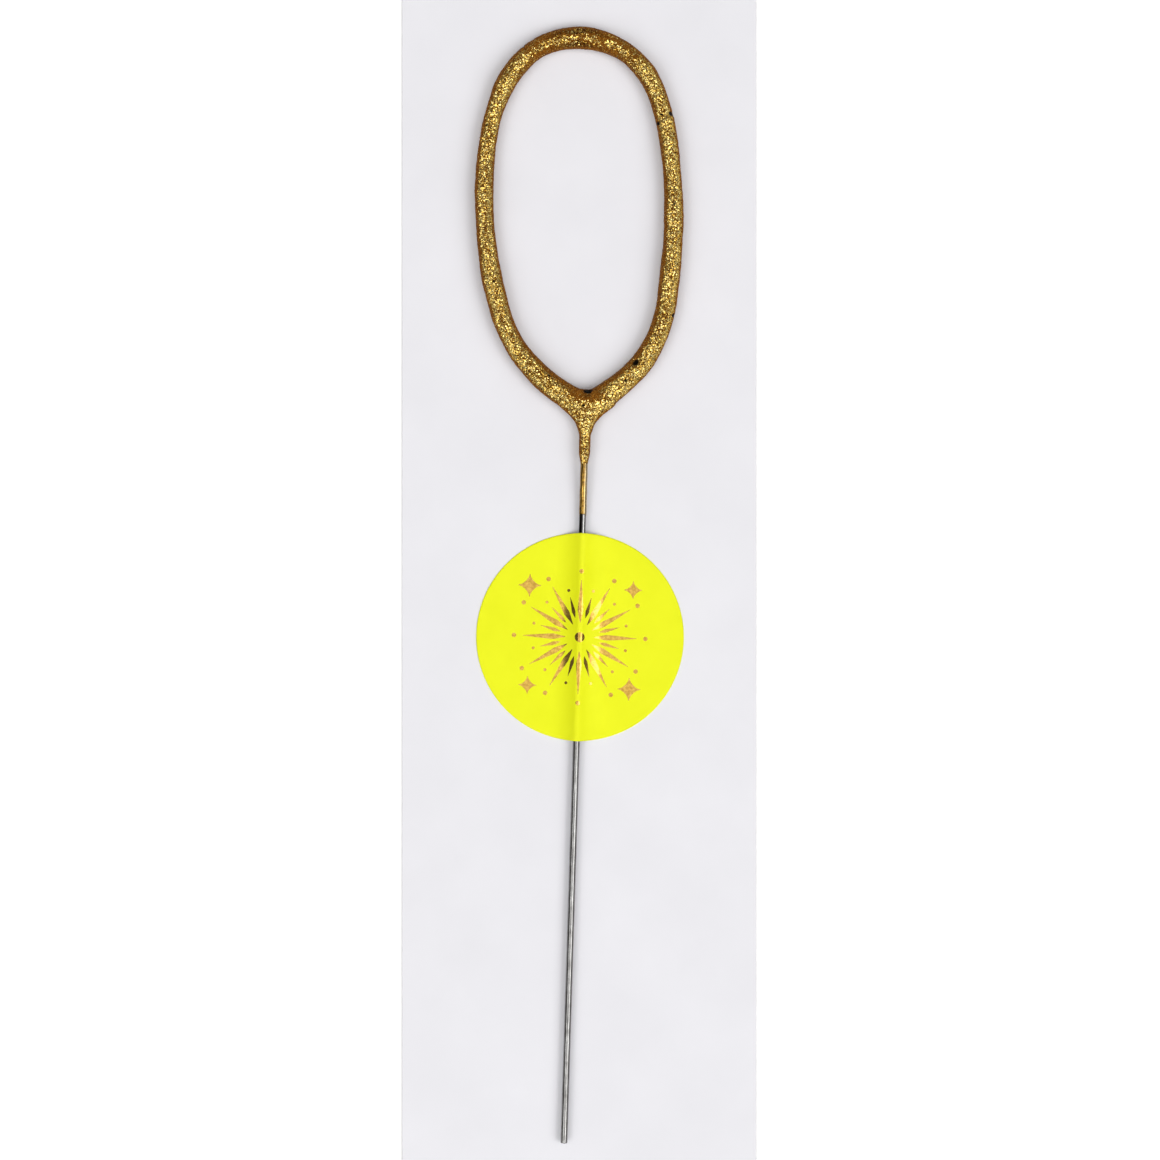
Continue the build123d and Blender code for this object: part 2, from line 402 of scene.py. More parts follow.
def gold_material():
    """Bronze-powder lacquer, dipped and dried: flashing flakes in a brown binder, brown pools and painted
    shade, dark pits.
    """
    material, tree, shader = new_material(
        "bronze_powder_lacquer", Specular_Tint=linear("#D09A50"), Specular_IOR_Level=0.05)
    place = add(tree, "ShaderNodeTexCoord").outputs["Object"]
    large = add(tree, "ShaderNodeTexVoronoi", inputs={"Scale": per_mm(FLAKE_MM)}, links={"Vector": place})
    small = add(tree, "ShaderNodeTexVoronoi", inputs={"Scale": per_mm(FINE_FLAKE_MM)},
                links={"Vector": place})
    patches = add(tree, "ShaderNodeTexNoise", links={"Vector": place},
                  inputs={"Scale": per_mm(PATCH_MM), "Detail": 4.0, "Roughness": 0.7})
    # Pooled lacquer and painted shade in one value: above 1 it is the painted shade of the crotch and the
    # loop's top.
    pool_and_shade = add(tree, "ShaderNodeAttribute", {"attribute_name": "pool_and_shade"}).outputs["Fac"]
    pit = add(tree, "ShaderNodeAttribute", {"attribute_name": "pit"}).outputs["Fac"]

    large_parts = add(tree, "ShaderNodeSeparateColor", links={"Color": large.outputs["Color"]})
    small_parts = add(tree, "ShaderNodeSeparateColor", links={"Color": small.outputs["Color"]})
    chance = add(tree, "ShaderNodeMix", inputs={"Factor": FINE_SHARE},
                 links={MIX_FIRST: large_parts.outputs["Red"], MIX_SECOND: small_parts.outputs["Red"]})
    thinned = add(tree, "ShaderNodeMath", {"operation": "MULTIPLY_ADD"}, {1: -FLAKES_COVERED},
                  {0: pool_and_shade, 2: chance.outputs[0]})
    darkest_share = add(tree, "ShaderNodeMapRange", inputs={"From Min": 1.0, "From Max": 1.5},
                links={"Value": pool_and_shade}).outputs["Result"]
    floated = add(tree, "ShaderNodeMath", {"operation": "MULTIPLY_ADD"}, {1: FLAKES_FLOATED},
                  {0: darkest_share, 2: thinned.outputs[0]})
    mottled = add(tree, "ShaderNodeMath", {"operation": "MULTIPLY_ADD"}, {1: PATCHINESS},
                  {0: patches.outputs["Fac"], 2: floated.outputs[0]})
    flake = add(tree, "ShaderNodeMapRange", inputs={"From Min": 0.61, "From Max": 0.67},
                links={"Value": mottled.outputs[0]}).outputs["Result"]

    metal = ramp(tree, small_parts.outputs["Green"], [(0.0, "#BC8A34"), (0.5, "#E4BF5A"), (1.0, "#FAEEA6")])
    binder = ramp(tree, large_parts.outputs["Green"], [(0.0, "#241203"), (0.5, "#58320A"), (1.0, "#885618")])
    pool_and_shade_brown = ramp(tree, small_parts.outputs["Blue"], [(0.0, "#5E340A"), (0.6, "#7E4C14"), (1.0, "#A87028")])
    deep_pool_and_shade = ramp(tree, large_parts.outputs["Blue"], [(0.0, "#1C0E02"), (0.5, "#452407"), (1.0, "#6E4414")])
    # Brown where the lacquer pooled and where shade is painted, darkest in the deepest painted shade.
    pooled_and_shaded = blend_colour(tree, darkest_share, blend_colour(tree, pool_and_shade, binder, pool_and_shade_brown), deep_pool_and_shade)
    coloured = blend_colour(tree, flake, pooled_and_shaded, metal)
    tree.links.new(blend_colour(tree, pit, coloured, "#0B0908"), shader.inputs["Base Color"])
    metallic = add(tree, "ShaderNodeMath", {"operation": "SUBTRACT", "use_clamp": True},
                   links={0: flake, 1: pit})
    tree.links.new(metallic.outputs[0], shader.inputs["Metallic"])
    rough = add(tree, "ShaderNodeMapRange", inputs={"To Min": 0.55, "To Max": 0.3}, links={"Value": flake})
    tree.links.new(rough.outputs["Result"], shader.inputs["Roughness"])

    centred = add(tree, "ShaderNodeVectorMath", {"operation": "SUBTRACT"}, {1: (0.5, 0.5, 0.5)},
                  {0: large.outputs["Color"]})
    tilt = add(tree, "ShaderNodeVectorMath", {"operation": "SCALE"}, {"Scale": FLAKE_TILT},
               {0: centred.outputs[0]})
    facing = add(tree, "ShaderNodeNewGeometry").outputs["Normal"]
    tilted = add(tree, "ShaderNodeVectorMath", {"operation": "ADD"}, links={0: facing, 1: tilt.outputs[0]})
    unit = add(tree, "ShaderNodeVectorMath", {"operation": "NORMALIZE"}, links={0: tilted.outputs[0]})
    tree.links.new(unit.outputs[0], shader.inputs["Normal"])
    return material


GOLD = gold_material()
print(GOLD.name, len(GOLD.node_tree.nodes), "nodes")

# %% [markdown]
# ## The stem's path
# The loop's coat is thicker than the wire, so the stem leaves the neck above the card and comes down in two
# equal bends. Seen from above, its upper part meets the lower one at a slight angle, so it has a direction
# of its own.

# %% The stem's path
DROP_START = 9.5
DROP_LENGTH = 8.5

UP_TO_FORK = FORK - BOW_END
STEM_DOWN = -UP_TO_FORK / abs(UP_TO_FORK)
STEM_RIGHT = STEM_DOWN * 1j


def stem_height(below):
    """Height of the stem's middle line: level at the neck, then down to the card in two equal bends."""
    t = np.clip((below - DROP_START) / DROP_LENGTH, 0, 1)
    share = np.where(t < 0.5, 2 * t ** 2, 1 - 2 * (1 - t) ** 2)
    return AXIS_Z + (STEM_Z - AXIS_Z) * share


print("the stem drops", round(AXIS_Z - STEM_Z, 2), "mm below the neck")

# %% [markdown]
# ## The gold coat
# The coat is a bar round the loop that swells and thins, and a web at the fork drawn out into a neck. Its
# widths are given at listed stations, and eased between them.

# %% Bars of the coat
STATIONS = [
    # mm round the loop from the fork, half width, how far the coat sits outside the wire
    (0, 1.88, 0.0), (4, 2.0, 0.14), (7, 1.9, 0.08), (10, 1.78, 0.02), (14, 1.7, 0.08), (18, 1.61, 0.0),
    (22, 1.6, -0.08), (26, 1.72, -0.02), (30, 1.58, -0.06), (35, 1.43, -0.11), (42, 1.54, -0.18),
    (46, 1.45, -0.14), (53, 1.41, 0.0), (58, 1.6, -0.26), (62, 1.64, -0.38), (66, 1.61, -0.18),
    (70, 1.68, -0.14), (74, 1.86, -0.1), (78, 1.67, -0.1), (82, 1.54, 0.0), (86, 1.63, -0.02),
    (90, 1.48, -0.02), (94, 1.54, 0.16), (103, 1.47, 0.1), (110, 1.62, 0.14), (114, 1.57, 0.16),
    (118, 1.64, 0.08), (122, 1.61, 0.0), (126, 1.64, 0.12), (130, 1.64, 0.28), (134, 1.78, 0.34),
    (138, 1.84, 0.18), (142, 2.0, 0.16), (146, 1.88, 0.0),
]
STATION_EASE = 4.0
HALF_HEIGHT_MOST = 1.62
COAT_SIDES = 56
FILM = 0.05
FILM_RADIUS = WIRE_RADIUS + FILM
NECK_RADIUS = 0.93
NECK_LENGTH = 9.8
NECK_TAPER = 2.2
NECK_SIDES = 48
NECK_RINGS = 44
TAPER_RINGS = 8
WEB_DEPTH = 0.62
WEB_REACH = 5.0
WEB_STATIONS = [
    # mm below the fork, half width of the web
    (-1.2, 4.0), (-0.8, 4.6), (-0.4, 4.85), (0.0, 4.8), (0.6, 4.2), (1.1, 3.6), (2.05, 2.5), (3.2, 1.6),
    (4.6, 1.1), (6.0, 0.5),
]
CROTCH_RISE = 1.0
CROTCH_HALF_WIDTH = 1.2
CROTCH_RADIUS = 1.42
CROTCH_RINGS = 20


def eased(values, spacing, window):
    """The same values with each bend spread over a window of length."""
    weights = np.hanning(int(window / spacing) | 1)
    half = len(weights) // 2
    return np.convolve(np.pad(values, half, mode="edge"), weights / weights.sum(), mode="valid")


def coat_bar():
    """The bar round the loop, its width and place taken from the stations, a little lower than wide."""
    along = np.linspace(0, loop_length, len(loop_line))
    place, half_width, shift = np.array(STATIONS).T
    radius = eased(np.interp(along, place, half_width), LOOP_SPACING, STATION_EASE)
    outside = eased(np.interp(along, place, shift), LOOP_SPACING, STATION_EASE)
    way = np.gradient(loop_line)
    line = loop_line + 1j * way / np.abs(way) * outside
    return tube(line, AXIS_Z, radius, COAT_SIDES, np.minimum(radius, HALF_HEIGHT_MOST))


def neck_bar():
    """Ellipses square to the stem: a web as wide as its stations say, a neck, and a taper to the wire."""
    taper_start = NECK_LENGTH - NECK_TAPER
    place, web = np.array(WEB_STATIONS).T
    to_taper = np.linspace(place[0], taper_start, NECK_RINGS)
    below = np.concatenate([to_taper, np.linspace(taper_start, NECK_LENGTH, TAPER_RINGS)[1:]])
    base = NECK_RADIUS + (FILM_RADIUS - NECK_RADIUS) * smooth_step(below, taper_start, NECK_LENGTH)
    half_width = np.maximum(base, np.interp(below, place, web))
    half_depth = base + WEB_DEPTH * (1 - np.clip(below / WEB_REACH, 0, 1)) ** 2
    angle = turn_angles(NECK_SIDES)
    middle = FORK + STEM_DOWN * below
    flat = middle[:, None] + STEM_RIGHT * half_width[:, None] * np.cos(angle)
    return closed_bar(in_space(flat, stem_height(below)[:, None] + half_depth[:, None] * np.sin(angle)))


def crotch_bar():
    """A short bar across the fork that fills the crotch between the limbs."""
    line = FORK + 1j * CROTCH_RISE + CROTCH_HALF_WIDTH * np.linspace(-1, 1, CROTCH_RINGS)
    return tube(line, AXIS_Z, CROTCH_RADIUS, NECK_SIDES)


bars = [coat_bar(), neck_bar(), crotch_bar()]
print("bars of the coat", [len(points) for points, faces in bars], "points")

# %% [markdown]
# Overlapping bars would show a crease where they cross, so they are fused by a voxel remesh. Then each
# point is moved towards the mean of its neighbours, a few times everywhere to take the voxels' steps off,
# and many times near the fork, where the wet coat ran together.

# %% Fuse the bars
VOXEL = 0.149
EASE_SHARE = 0.5
EASE_EVERYWHERE = 4
EASE_AT_FORK = 40
EASE_BELOW_FORK = 0.8
EASE_REACH = 4.6


def joined(parts):
    """The points and faces of several parts as one list of each."""
    starts = np.cumsum([0] + [len(points) for points, faces in parts])
    faces = [[corner + start for corner in face] for (_, part), start in zip(parts, starts) for face in part]
    return np.concatenate([points for points, _ in parts]), faces


def fused(parts):
    """One closed skin round several overlapping bars, by a voxel remesh, as points and four-sided faces."""
    points, faces = joined(parts)
    mesh = bpy.data.meshes.new("bars")
    mesh.from_pydata(points.tolist(), [], faces)
    helper = bpy.data.objects.new("bars", mesh)
    bpy.context.scene.collection.objects.link(helper)
    remesh = helper.modifiers.new("fuse", "REMESH")
    remesh.mode = "VOXEL"
    remesh.voxel_size = VOXEL
    evaluated = helper.evaluated_get(bpy.context.evaluated_depsgraph_get())
    done = evaluated.to_mesh()
    skin = np.empty(len(done.vertices) * 3)
    done.vertices.foreach_get("co", skin)
    corners = np.empty(len(done.loops), np.int64)
    done.loops.foreach_get("vertex_index", corners)
    evaluated.to_mesh_clear()
    bpy.data.objects.remove(helper)
    bpy.data.meshes.remove(mesh)
    return skin.reshape(-1, 3), corners.reshape(-1, 4)


def neighbour_mean(points, quads):
    """The mean of each point's neighbours along the faces' sides."""
    side_a = quads.reshape(-1)
    side_b = np.roll(quads, -1, axis=1).reshape(-1)
    count = np.bincount(side_a, minlength=len(points))[:, None]
    total = np.stack([np.bincount(side_a, points[side_b, i], len(points)) for i in range(3)], -1)
    return total / np.maximum(count, 1)


def point_normals(points, quads):
    """Unit normals at the points: the crossed diagonals of the faces, added up at their corners."""
    a, b, c, d = (points[quads[:, i]] for i in range(4))
    crossed = np.repeat(np.cross(c - a, d - b), 4, axis=0)
    corner = quads.reshape(-1)
    total = np.stack([np.bincount(corner, crossed[:, i], len(points)) for i in range(3)], -1)
    return total / np.maximum(np.linalg.norm(total, axis=1, keepdims=True), 1e-12)


skin, quads = fused(bars)
near_fork = bell(np.abs(plan(skin) - FORK - STEM_DOWN * EASE_BELOW_FORK), EASE_REACH)
for share in [EASE_SHARE] * EASE_EVERYWHERE + [EASE_SHARE * near_fork[:, None]] * EASE_AT_FORK:
    skin = skin + share * (neighbour_mean(skin, quads) - skin)
normals = point_normals(skin, quads)
places = plan(skin)
print("coat skin", len(skin), "points", len(quads), "faces")

# %% [markdown]
# ## Pooled lacquer and painted shade
# A dipped coat is hung to dry, so its lacquer runs and pools, and here painted shade is added as more of it.
# The value is low on the side that leans up towards the lights and high on both flanks turned from them,
# with a faint painted dark streak along the crown. At the loop's top the painted shade is deepest beside the
# ridge, in the crotch it is a deep brown, and round the web it is a brown rim with a darker middle. Each
# place gives a value from 0, thin and lit, through 1, where it covers most flakes, to 1.5, the darkest, and
# a point keeps its largest.

# %% Where the lacquer pooled
# Painted shade: the first lean points up and towards the lights, so points turned from them get a high
# value. The top, crown, fork, crotch and web rim values below set painted shade too.
POOL_AND_LIGHT_LEAN = (0.12, -0.32, 0.94)
THIN_AND_LIT = (0.48, 0.8)
POOL_WAVER = 0.05
POOL_WAVER_MM = 1.2
TOP_LEAN = (0.0, -0.12, 0.99)
TOP_SHADE_REACH = 9.0
TOP_SPECKLE = 0.06
TOP_SPECKLE_MM = 0.4
TOP_SIDE = (0.55, 0.75)
TOP_SIDE_SHADE = 1.5
TOP_RIDGE = (0.9, 0.99)
TOP_RIDGE_SHADE = 0.42
CROWN = (0.88, 0.99)
CROWN_SHADE = 0.3
FORK_SHADE = 0.12
FORK_SHADE_REACH = 9.0
CROTCH_SHADE = 1.25
CROTCH_SHADE_RISE = 1.3
CROTCH_SHADE_WIDE = 3.0
CROTCH_SHADE_TALL = 1.2
WEB_RIM = (0.7, 0.92)
WEB_RIM_START = (0.2, 1.2)
WEB_RIM_END = (3.6, 4.8)
WEB_DARKENING = 0.34
WEB_DARKENING_BELOW = 1.2
WEB_DARKENING_REACH = 2.2


def loop_pools_and_shade(top_share):
    """Lacquer and painted shade from how far a point leans from up: dark flanks, at the loop's top a lighter
    ridge, and a painted dark streak along the crown.
    """
    over_loop = np.abs(normals @ np.array(POOL_AND_LIGHT_LEAN))
    over_top = np.abs(normals @ np.array(TOP_LEAN))
    leaned = (1 - top_share) * over_loop + top_share * over_top
    leaned = leaned + POOL_WAVER * lattice_noise(skin, POOL_WAVER_MM, seed=6)
    leaned = leaned + TOP_SPECKLE * top_share * lattice_noise(skin, TOP_SPECKLE_MM, seed=9)
    leaned = leaned - FORK_SHADE * bell(np.abs(places - FORK), FORK_SHADE_REACH)
    shaded_flank = 1 - smooth_step(leaned, *THIN_AND_LIT)
    on_side = 1 + (TOP_SIDE_SHADE - 1) * smooth_step(leaned, *TOP_SIDE)
    on_top = on_side + (TOP_RIDGE_SHADE - on_side) * smooth_step(leaned, *TOP_RIDGE)
    # A faint painted dark streak along the crown.
    on_crown = CROWN_SHADE * smooth_step(normals[:, 2], *CROWN) * (1 - top_share) * (1 - near_fork)
    return [shaded_flank, top_share * on_top, on_crown]


def fork_pools_and_shade():
    """Painted shade in the crotch and along the web's two rims, and a darker middle of the web."""
    in_crotch = places - FORK - 1j * CROTCH_SHADE_RISE
    crotch = CROTCH_SHADE * bell(in_crotch.real, CROTCH_SHADE_WIDE) * bell(in_crotch.imag, CROTCH_SHADE_TALL)
    down_stem = (places - FORK) / STEM_DOWN
    to_edge = np.abs(down_stem.imag) / np.interp(down_stem.real, *np.array(WEB_STATIONS).T)
    rim = smooth_step(to_edge, *WEB_RIM) * smooth_step(down_stem.real, *WEB_RIM_START)
    rim = rim * (1 - smooth_step(down_stem.real, *WEB_RIM_END))
    return [crotch, rim, WEB_DARKENING * bell(np.abs(down_stem - WEB_DARKENING_BELOW), WEB_DARKENING_REACH)]


at_top = bell(np.abs(places - LOOP_TOP), TOP_SHADE_REACH)
pool_and_shade = np.maximum.reduce(loop_pools_and_shade(at_top) + fork_pools_and_shade())
print("lacquer is thick on", round(float((pool_and_shade > 0.5).mean()), 2), "of the coat's points")

# %% [markdown]
# ## Pits, specks and a crack
# The photograph shows a few flaws: two black pits near the fork where the lacquer is missing, small dark
# specks, and a crack across the upper right of the loop. Each is a dent in the skin and a dark value.

# %% Pits, specks and a crack
PX_PER_MM = 6.219
PHOTO_MIDDLE = complex(579.25, 580.0)


def from_photo(px, py):
    """A place in the photograph's pixels as a point on the card."""
    return complex(px - PHOTO_MIDDLE.real, PHOTO_MIDDLE.imag - py) / PX_PER_MM


PITS = [
    # place, half length, half width, turn in degrees, depth
    (from_photo(588, 391), 0.8, 0.42, 8, 0.25), (from_photo(635, 363), 0.62, 0.5, 50, 0.25),
    (from_photo(671.5, 114.5), 0.5, 0.34, -35, 0.2), (from_photo(657.5, 124.5), 0.34, 0.26, -60, 0.16),
    (from_photo(487, 126), 0.3, 0.2, 0, 0.1), (from_photo(674, 205), 0.3, 0.18, 70, 0.1),
    (from_photo(625.5, 381), 0.3, 0.22, 30, 0.1), (from_photo(661, 116), 0.26, 0.18, 0, 0.08),
    (from_photo(494, 282), 0.24, 0.2, 0, 0.08), (from_photo(673.5, 316), 0.34, 0.22, 80, 0.12),
    (from_photo(549, 376), 0.26, 0.18, -40, 0.08), (from_photo(523, 47), 0.28, 0.16, 40, 0.08),
    (from_photo(487, 202), 0.22, 0.16, 0, 0.06), (from_photo(583, 406), 0.26, 0.2, 0, 0.06),
]
PIT_EDGE = (0.75, 1.15)
DENT_EDGE = (0.5, 1.3)
UPPER_SIDE = (-0.3, 0.2)
RAGGED = 0.22
RAGGED_MM = 0.35
CRACK_START = from_photo(672, 114)
CRACK_END = from_photo(656, 125)
CRACK_EDGE = (0.066, 0.286)
CRACK_FADE = 0.2
CRACK_WAVER = 0.12
CRACK_WAVER_MM = 0.6
CRACK_GAPS = (-0.5, 0.3)
CRACK_DARK = 0.55
CRACK_DEPTH = 0.12

upper = smooth_step(skin[:, 2] - AXIS_Z, *UPPER_SIDE)
ragged = lattice_noise(skin, RAGGED_MM, seed=5)
pit = np.zeros(len(skin))
dent = np.zeros(len(skin))
for place, half_length, half_width, turn, depth in PITS:
    local = (places - place) * np.exp(-1j * np.radians(turn))
    away = np.hypot(local.real / half_length, local.imag / half_width) + RAGGED * ragged
    pit = np.maximum(pit, upper * (1 - smooth_step(away, *PIT_EDGE)))
    dent = np.maximum(dent, depth * upper * (1 - smooth_step(away, *DENT_EDGE)))

crack_way = CRACK_END - CRACK_START
local = (places - CRACK_START) / crack_way
away = np.abs(local.imag) * abs(crack_way) + CRACK_WAVER * lattice_noise(skin, CRACK_WAVER_MM, seed=8)
in_crack = upper * (1 - smooth_step(away, *CRACK_EDGE)) * smooth_step(local.real, -CRACK_FADE, 0)
in_crack = in_crack * (1 - smooth_step(local.real, 1, 1 + CRACK_FADE))
pit = np.maximum(pit, CRACK_DARK * in_crack * smooth_step(ragged, *CRACK_GAPS))
dent = np.maximum(dent, CRACK_DEPTH * in_crack)
print(len(PITS), "pits and specks, the deepest", round(float(dent.max()), 2), "mm")

# %% [markdown]
# ## Lumps and grit
# The dried mass is lumpy and gritty, and the lacquer shows it. Noise of four sizes pushes the skin along its
# normals, less on the thin neck, and the dents are taken off. The loop rests on the card, so its lowest grit
# is pressed almost flat there.

# %% Lumps and grit
LUMPS = [
    # push, size, seed
    (0.07, 5.5, 1), (0.035, 2.1, 2), (0.028, 0.75, 3), (0.03, 0.34, 4),
]
NECK_LUMPS = 0.35
NECK_FADE = 5.0
GAP_TO_CARD = 0.01
PRESSED = 0.25

on_loop = smooth_step(skin[:, 1] - FORK.imag, -NECK_FADE, 0)
lumps = sum(height * lattice_noise(skin, size, seed) for height, size, seed in LUMPS)
push = (NECK_LUMPS + (1 - NECK_LUMPS) * on_loop) * lumps - dent
coat_points = skin + normals * push[:, None]
lowest = CARD_TOP + GAP_TO_CARD
coat_points[:, 2] = np.maximum(coat_points[:, 2], lowest + PRESSED * (coat_points[:, 2] - lowest))

gold_coat = write_mesh("gold_coat", coat_points, quads.tolist())
point_value(gold_coat, "pool_and_shade", pool_and_shade)
point_value(gold_coat, "pit", pit)
finish_piece(gold_coat, GOLD, "sparkler", "gold_lacquer")

# %% [markdown]
# ## Spark composition
# Under the lacquer is the dark mass that burns: metal powder in a dried binder. It shows only where the
# lacquer is missing, so it is the same skin drawn in by the lacquer's thickness.

# %% Spark composition
LACQUER = 0.1
POWDER_GRAIN_MM = 0.2


def composition_material():
    """Dried metal-powder slurry: matt charcoal with fine grey grains."""
    material, tree, shader = new_material("dried_spark_slurry", Roughness=0.9)
    place = add(tree, "ShaderNodeTexCoord").outputs["Object"]
    grains = add(tree, "ShaderNodeTexVoronoi", inputs={"Scale": per_mm(POWDER_GRAIN_MM)},
                 links={"Vector": place})
    split = add(tree, "ShaderNodeSeparateColor", links={"Color": grains.outputs["Color"]})
    colour = ramp(tree, split.outputs["Red"], [(0.0, "#0E0C0B"), (0.7, "#24201D"), (1.0, "#5A544D")])
    tree.links.new(colour, shader.inputs["Base Color"])
    bump = add(tree, "ShaderNodeBump", inputs={"Strength": 0.5, "Distance": 0.05 * MM},
               links={"Height": grains.outputs["Distance"]})
    tree.links.new(bump.outputs["Normal"], shader.inputs["Normal"])
    return material


core_points = skin + normals * (np.minimum(push, 0.0) - LACQUER)[:, None]
composition = write_mesh("composition_mass", core_points, quads.tolist())
finish_piece(composition, composition_material(), "sparkler", "spark_composition")

# %% [markdown]
# ## The wire
# One drawn steel wire makes the stem, bends at the fork and goes round inside the coat. Drawing leaves fine
# lines along it, so the wire keeps two values on its points, one along and one round, and a noise that is
# stretched along the wire reads them. Below the dip line its left side is painted near black: painted shade
# for a dark reflection.

# %% Steel wire
# Real die lines are about a hundredth of a millimetre apart. They are drawn coarser, so that they show.
DIE_LINE_MM = 0.07
DIE_LINE_STRETCH = 0.04
TARNISH_MM = 4.0


def steel_material():
    """Bare drawn steel wire: die lines along it, a little tarnish, a painted dark side, sharp reflections.
    """
    material, tree, shader = new_material("drawn_steel_wire", Metallic=1.0)
    along = add(tree, "ShaderNodeAttribute", {"attribute_name": "along"}).outputs["Fac"]
    round_it = add(tree, "ShaderNodeAttribute", {"attribute_name": "round"}).outputs["Fac"]
    painted_dark_side = add(tree, "ShaderNodeAttribute", {"attribute_name": "painted_dark_side"}).outputs["Fac"]
    streak_place = add(tree, "ShaderNodeCombineXYZ", links={"X": along, "Y": round_it})
    stretched = add(tree, "ShaderNodeMapping", inputs={"Scale": (DIE_LINE_STRETCH, 1.0, 1.0)},
                    links={"Vector": streak_place.outputs[0]})
    lines = add(tree, "ShaderNodeTexNoise", inputs={"Scale": 1 / DIE_LINE_MM, "Detail": 3.0},
                links={"Vector": stretched.outputs[0]}).outputs["Fac"]
    place = add(tree, "ShaderNodeTexCoord").outputs["Object"]
    tarnish = add(tree, "ShaderNodeTexNoise", inputs={"Scale": per_mm(TARNISH_MM), "Detail": 4.0},
                  links={"Vector": place})
    patch = add(tree, "ShaderNodeMapRange", inputs={"From Min": 0.45, "From Max": 0.68},
                links={"Value": tarnish.outputs["Fac"]})
    clean = ramp(tree, lines, [(0.3, "#605F5E"), (0.7, "#9B9A99")])
    dull = ramp(tree, lines, [(0.3, "#4E4C4A"), (0.7, "#807E7C")])
    bare = blend_colour(tree, patch.outputs["Result"], clean, dull)
    # Painted shade: below the dip line the left side is blended to near black, a painted dark reflection.
    tree.links.new(blend_colour(tree, painted_dark_side, bare, "#141211"), shader.inputs["Base Color"])
    rough = add(tree, "ShaderNodeMapRange", inputs={"To Min": 0.06, "To Max": 0.2}, links={"Value": lines})
    tree.links.new(rough.outputs["Result"], shader.inputs["Roughness"])
    bump = add(tree, "ShaderNodeBump", inputs={"Strength": 0.25, "Distance": 0.02 * MM},
               links={"Height": lines})
    tree.links.new(bump.outputs["Normal"], shader.inputs["Normal"])
    return material


STEEL = steel_material()
print(STEEL.name, len(STEEL.node_tree.nodes), "nodes")

# %% [markdown]
# The wire is one bar swept along its whole route, from the tip up the stem and once round the loop to a
# free end. The tip is sheared: a small rounded edge and a flat face.

# %% Shape of the wire
WIRE_SIDES = 36
WIRE_SPACING = 0.4
WIRE_BEND = 1.4
BEND_POINTS = 12
FREE_END_GAP = 1.6
TIP_ROUND = 0.14
TIP_PROFILE = [
    # shares of the rounding: along the stem, and how far it is drawn in
    (0.0, 1.0), (0.08, 0.62), (0.3, 0.29), (0.6, 0.08), (1.0, 0.0),
]
DARK_SIDE_START = (16.0, 17.0)
DARK_SIDE_FADE = (21.0, 24.0)
DARK_SIDE_ROUND = (-0.2, 0.2)


def wire_route():
    """Tip, stem, a small bend at the fork and once round the loop to the free end."""
    stem = np.array([TIP, BOW_END, FORK + STEM_DOWN * WIRE_BEND])
    first = int(np.argmax(np.abs(loop_line - FORK) >= WIRE_BEND))
    last = len(loop_line) - int(FREE_END_GAP / LOOP_SPACING)
    bend = arc(stem[-1], -STEM_DOWN, loop_line[first], BEND_POINTS)
    return even(np.concatenate([stem, bend[1:], loop_line[first + 1:last]]), WIRE_SPACING)


def round_half(angle, radius):
    """How far round a bar a point is, up one side and down the other, so that a pattern meets itself."""
    return np.sin(angle) * np.pi * radius / 2


def wire_piece():
    """The wire's bar, with its tip drawn in to a rounded, sheared end."""
    lead, drawn_in = TIP_ROUND * np.array(TIP_PROFILE).T
    line = np.concatenate([TIP - DOWN * lead, wire_route()[1:]])
    radius = np.full(len(line), WIRE_RADIUS)
    radius[:len(lead)] -= drawn_in
    below = ((line - FORK) / STEM_DOWN).real
    piece = write_mesh("drawn_wire", *tube(line, stem_height(below), radius, WIRE_SIDES))
    along = np.concatenate([[0], np.cumsum(np.abs(np.diff(line)))])
    angle = turn_angles(WIRE_SIDES)
    # The painted dark side: a band just below the dip line, on the wire's left.
    dark_side_share = smooth_step(below, *DARK_SIDE_START) * (1 - smooth_step(below, *DARK_SIDE_FADE))
    shape = (len(line), WIRE_SIDES)
    bar_value(piece, "painted_dark_side", dark_side_share[:, None] * smooth_step(np.cos(angle), *DARK_SIDE_ROUND), shape)
    bar_value(piece, "along", along[:, None], shape)
    bar_value(piece, "round", round_half(angle, WIRE_RADIUS), shape)
    return piece


finish_piece(wire_piece(), STEEL, "sparkler", "core_wire")

# %% [markdown]
# ## Gold film on the stem
# The lacquer also ran down the bare stem as far as the dip line, where it ends in a slightly ragged edge.
# With no grit under it the film is thin and bright, with short runs along the wire. Its right side is
# blended to a pale colour: a painted highlight.

# %% Gold film on the stem
DIP_LINE = 17.8
FILM_RINGS = 60
FILM_SIDES = 40
EDGE_SWAY = 0.16
EDGE_SWAY_TURN = 0.7
EDGE_NICKS = 0.08
FILM_RIPPLE = 0.012
RIPPLE_PER_MM = 2.3
FILM_FEATHER = 0.035
FEATHER_START = 0.97
FILM_HIGHLIGHT_SIDE = (0.1, 0.55)
RUN_MM = 0.16
RUN_STRETCH = 0.25


